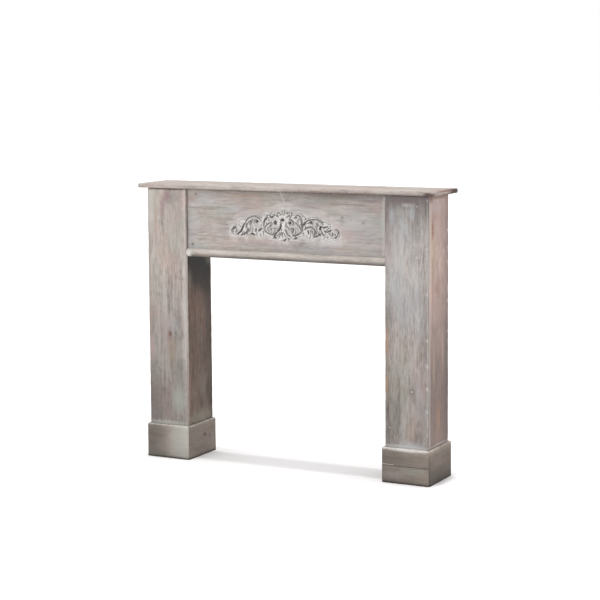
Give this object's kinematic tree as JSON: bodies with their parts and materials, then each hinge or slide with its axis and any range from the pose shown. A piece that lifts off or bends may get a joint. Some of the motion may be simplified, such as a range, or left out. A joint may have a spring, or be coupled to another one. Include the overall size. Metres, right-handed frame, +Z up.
{
  "type": "fireplace mantelpiece",
  "caption": "Freestanding wooden mantelpiece: hollow box legs with skirtings, a recessed frieze with a carved scroll onlay and a bead below it, under a thin overhanging shelf.",
  "frame": {"origin": "on the floor, under the middle of the whole part's box", "axes": "+X along the shelf to the right as seen from the front, +Y back to the wall, so the carved front faces -Y, +Z up"},
  "size_m": [1.168, 0.192, 1],
  "materials": {
    "whitewashed_wood": "whitewashed and rubbed back, matt",
    "worn_brown_wood": "thin worn whitewash over brown wood, matt",
    "white_rubbed_carving": "white paint rubbed off the high parts, dark in the hollows"
  },
  "bodies": {
    "root": {"shelf": "whitewashed_wood", "left_leg_front": "whitewashed_wood", "left_leg_inner": "whitewashed_wood", "left_leg_outer": "whitewashed_wood", "right_leg_front": "whitewashed_wood", "right_leg_inner": "whitewashed_wood", "right_leg_outer": "whitewashed_wood", "left_skirting_front": "worn_brown_wood", "left_skirting_inner": "worn_brown_wood", "left_skirting_outer": "worn_brown_wood", "right_skirting_front": "worn_brown_wood", "right_skirting_inner": "worn_brown_wood", "right_skirting_outer": "worn_brown_wood", "frieze_board": "whitewashed_wood", "frieze_bead": "worn_brown_wood", "carved_ornament": "white_rubbed_carving"}
  },
  "joints": []
}
